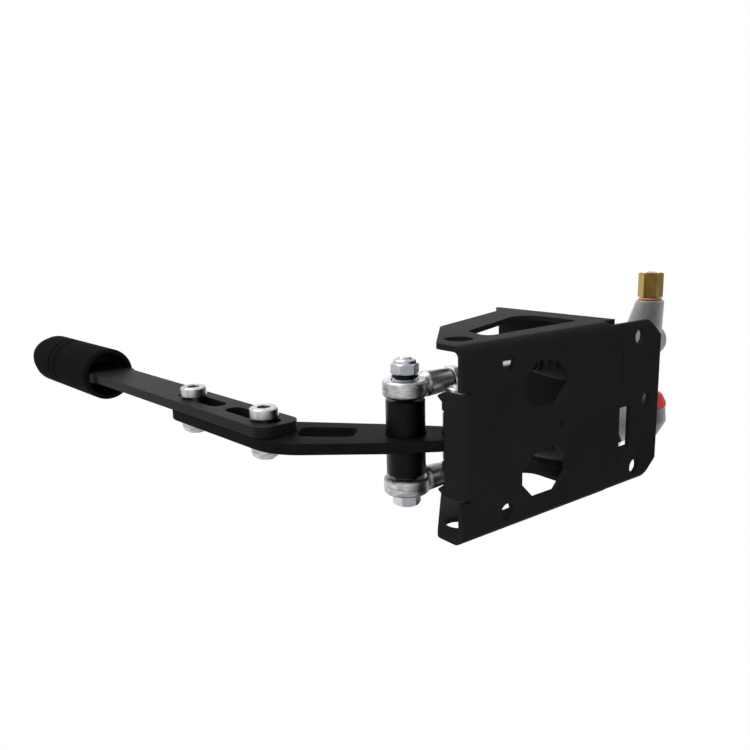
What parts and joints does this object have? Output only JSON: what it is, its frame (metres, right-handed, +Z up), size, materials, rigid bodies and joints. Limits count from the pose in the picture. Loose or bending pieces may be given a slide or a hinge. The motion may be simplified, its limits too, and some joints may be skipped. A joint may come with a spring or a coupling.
{
  "type": "parking brake lever",
  "caption": "Upright hydraulic parking brake lever on a folded bracket, its handle pushing paired master cylinders through adjustable pushrods.",
  "frame": {"origin": "centre of the four mounting holes, on the underside of the base plate", "axes": "+Z up, away from the mounting face; +X from the lever towards the cylinders; -Y is the side of the outlet fitting"},
  "size_m": [0.3326, 0.1232, 0.419],
  "materials": {
    "black_coat": "satin black powder coat",
    "black_bar": "dark satin, lightly grained",
    "bright_zinc": "bright zinc plate",
    "forged_zinc": "zinc plate over a forged skin",
    "cast_aluminium": "grey sand casting",
    "brass": "machined brass",
    "copper": "plain copper",
    "bronze": "sintered bronze",
    "steel": "ground steel",
    "piston_alloy": "machined aluminium",
    "rubber": "matte black rubber",
    "grip_foam": "matte black foam rubber",
    "grip_plastic": "matte black plastic",
    "red_plastic": "red moulded plastic"
  },
  "bodies": {
    "bracket": {"base_bracket": "black_coat", "rear_wall": "black_coat", "pivot_cradle": "black_coat", "pivot_bolt": "bright_zinc", "pivot_nut": "bright_zinc", "outlet_fitting": "brass", "outlet_washer": "copper", "port_cap": "red_plastic", "cylinder_body_upper": "cast_aluminium", "dust_boot_upper": "rubber", "snap_ring_upper": "steel", "stop_washer_upper": "bright_zinc", "return_spring_upper": "steel", "cylinder_body_lower": "cast_aluminium", "dust_boot_lower": "rubber", "snap_ring_lower": "steel", "stop_washer_lower": "bright_zinc", "return_spring_lower": "steel", "cylinder_bolt_upper_bottom": "bright_zinc", "cylinder_bolt_upper_top": "bright_zinc", "cylinder_bolt_lower_bottom": "bright_zinc", "cylinder_bolt_lower_top": "bright_zinc", "cylinder_nut_upper_bottom": "bright_zinc", "cylinder_nut_upper_top": "bright_zinc", "cylinder_nut_lower_bottom": "bright_zinc", "cylinder_nut_lower_top": "bright_zinc"},
    "lever": {"lever_bar": "black_bar", "pivot_sleeve": "black_bar", "cross_tube": "black_bar", "cross_bolt": "bright_zinc", "cross_washer": "bright_zinc", "cross_nut": "bright_zinc", "pivot_bush_upper": "bronze", "rod_end_ball_upper": "steel", "clamp_screw_upper": "bright_zinc", "clamp_nut_upper": "bright_zinc", "pivot_bush_lower": "bronze", "rod_end_ball_lower": "steel", "clamp_screw_lower": "bright_zinc", "clamp_nut_lower": "bright_zinc"},
    "handle": {"handle_bar": "black_bar", "grip_sleeve": "grip_foam", "grip_core": "grip_plastic"},
    "pushrod_assembly_upper": {"rod_end_upper": "forged_zinc", "jam_nut_upper": "bright_zinc", "pushrod_upper": "bright_zinc"},
    "piston_assembly_upper": {"piston_upper": "piston_alloy", "piston_ring_upper": "rubber", "piston_cup_upper": "rubber"},
    "pushrod_assembly_lower": {"rod_end_lower": "forged_zinc", "jam_nut_lower": "bright_zinc", "pushrod_lower": "bright_zinc"},
    "piston_assembly_lower": {"piston_lower": "piston_alloy", "piston_ring_lower": "rubber", "piston_cup_lower": "rubber"}
  },
  "joints": [
    {"name": "lever_pivot", "type": "hinge", "parent": "bracket", "child": "lever", "pos_m": [-0.0715, 0, 0.02], "axis": [0, 1, 0], "range_deg": [0, 20]},
    {"name": "handle_height", "type": "slide", "parent": "lever", "child": "handle", "axis": [-0.0941, 0, 0.9956], "range_m": [-0.0075, 0.005]},
    {"name": "pushrod_swing_upper", "type": "hinge", "parent": "lever", "child": "pushrod_assembly_upper", "pos_m": [-0.0922, -0.026, 0.0382], "axis": [0, 1, 0], "range_deg": [-18, 0], "deforming": ["dust_boot_upper"]},
    {"name": "piston_slide_upper", "type": "slide", "parent": "bracket", "child": "piston_assembly_upper", "axis": [1, 0, 0], "range_m": [0, 0.0074], "deforming": ["return_spring_upper"]},
    {"name": "pushrod_swing_lower", "type": "hinge", "parent": "lever", "child": "pushrod_assembly_lower", "pos_m": [-0.0922, 0.026, 0.0382], "axis": [0, 1, 0], "range_deg": [-18, 0], "deforming": ["dust_boot_lower"]},
    {"name": "piston_slide_lower", "type": "slide", "parent": "bracket", "child": "piston_assembly_lower", "axis": [1, 0, 0], "range_m": [0, 0.0074], "deforming": ["return_spring_lower"]}
  ],
  "couplings": [
    {"joint": "pushrod_swing_upper", "follows": "lever_pivot", "ratio": -0.882},
    {"joint": "piston_slide_upper", "follows": "lever_pivot", "m_per_rad": 0.02105},
    {"joint": "pushrod_swing_lower", "follows": "lever_pivot", "ratio": -0.882},
    {"joint": "piston_slide_lower", "follows": "lever_pivot", "m_per_rad": 0.02105}
  ]
}
